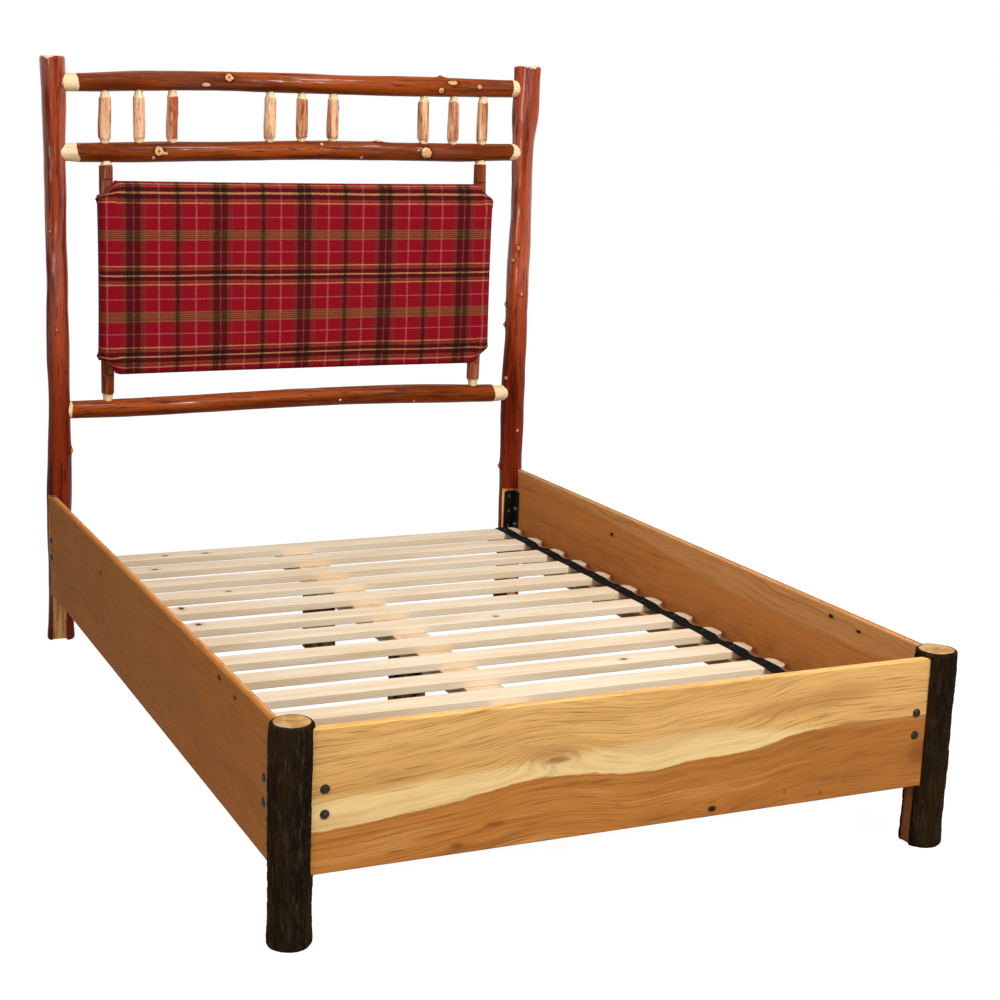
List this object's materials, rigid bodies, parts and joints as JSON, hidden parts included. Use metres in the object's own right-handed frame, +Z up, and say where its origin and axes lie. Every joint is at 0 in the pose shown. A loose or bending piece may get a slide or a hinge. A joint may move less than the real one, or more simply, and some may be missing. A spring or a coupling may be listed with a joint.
{
  "type": "rustic log bed",
  "caption": "Rustic log bed: peeled-log headboard with spindles and an upholstered plaid panel, wide plank rails, bark-on foot posts and a slatted deck that lifts out.",
  "frame": {"origin": "on the floor, at the middle of the bed's footprint", "axes": "+Z up, +Y from the footboard towards the headboard, +X to the right of someone who faces the headboard"},
  "size_m": [1.466, 2.0362, 1.59],
  "materials": {
    "peeled_log": "varnished peeled log, satin",
    "spindle_wood": "varnished peeled pole, satin",
    "bark_log": "rough bark",
    "rail_wood": "oiled plank, satin",
    "footboard_wood": "oiled plank, satin",
    "ledger_wood": "planed, matt",
    "slat_pine": "planed pine, matt",
    "plywood": "sanded plywood, matt",
    "plaid_cloth": "woven wool plaid",
    "webbing": "woven webbing",
    "black_steel": "black powder coat",
    "bolt_steel": "dark oxide",
    "zinc_steel": "zinc plated"
  },
  "bodies": {
    "bed_frame": {"head_post_left": "peeled_log", "head_post_right": "peeled_log", "headboard_top_rail": "peeled_log", "headboard_second_rail": "peeled_log", "headboard_lower_rail": "peeled_log", "spindle_1": "spindle_wood", "spindle_2": "spindle_wood", "spindle_3": "spindle_wood", "spindle_4": "spindle_wood", "spindle_5": "spindle_wood", "spindle_6": "spindle_wood", "spindle_7": "spindle_wood", "spindle_8": "spindle_wood", "spindle_9": "spindle_wood", "panel_stile_left": "peeled_log", "panel_stile_right": "peeled_log", "panel_board": "plywood", "panel_cushion": "plaid_cloth", "panel_screws": "zinc_steel", "foot_post_left": "bark_log", "foot_post_right": "bark_log", "footboard_plank": "footboard_wood", "side_rail_left": "rail_wood", "side_rail_right": "rail_wood", "ledger_left": "ledger_wood", "ledger_right": "ledger_wood", "ledger_screws": "zinc_steel", "centre_beam": "slat_pine", "beam_cleat": "slat_pine", "beam_screws": "zinc_steel", "centre_leg_front": "bark_log", "centre_leg_back": "bark_log", "head_corner_brackets": "black_steel", "foot_corner_brackets": "black_steel", "footboard_brackets": "black_steel", "rail_bolts_head": "bolt_steel", "rail_bolts_foot": "bolt_steel", "footboard_bolts": "bolt_steel", "bolt_nuts": "zinc_steel", "bracket_screws": "zinc_steel"},
    "slat_deck": {"slat_01": "slat_pine", "slat_02": "slat_pine", "slat_03": "slat_pine", "slat_04": "slat_pine", "slat_05": "slat_pine", "slat_06": "slat_pine", "slat_07": "slat_pine", "slat_08": "slat_pine", "slat_09": "slat_pine", "slat_10": "slat_pine", "slat_11": "slat_pine", "slat_12": "slat_pine", "slat_13": "slat_pine", "slat_14": "slat_pine", "slat_strap_left": "webbing", "slat_strap_right": "webbing", "strap_staples": "zinc_steel"}
  },
  "joints": [
    {"name": "deck_lift", "type": "slide", "parent": "bed_frame", "child": "slat_deck", "axis": [0, 0, 1], "range_m": [0, 0.3]}
  ]
}
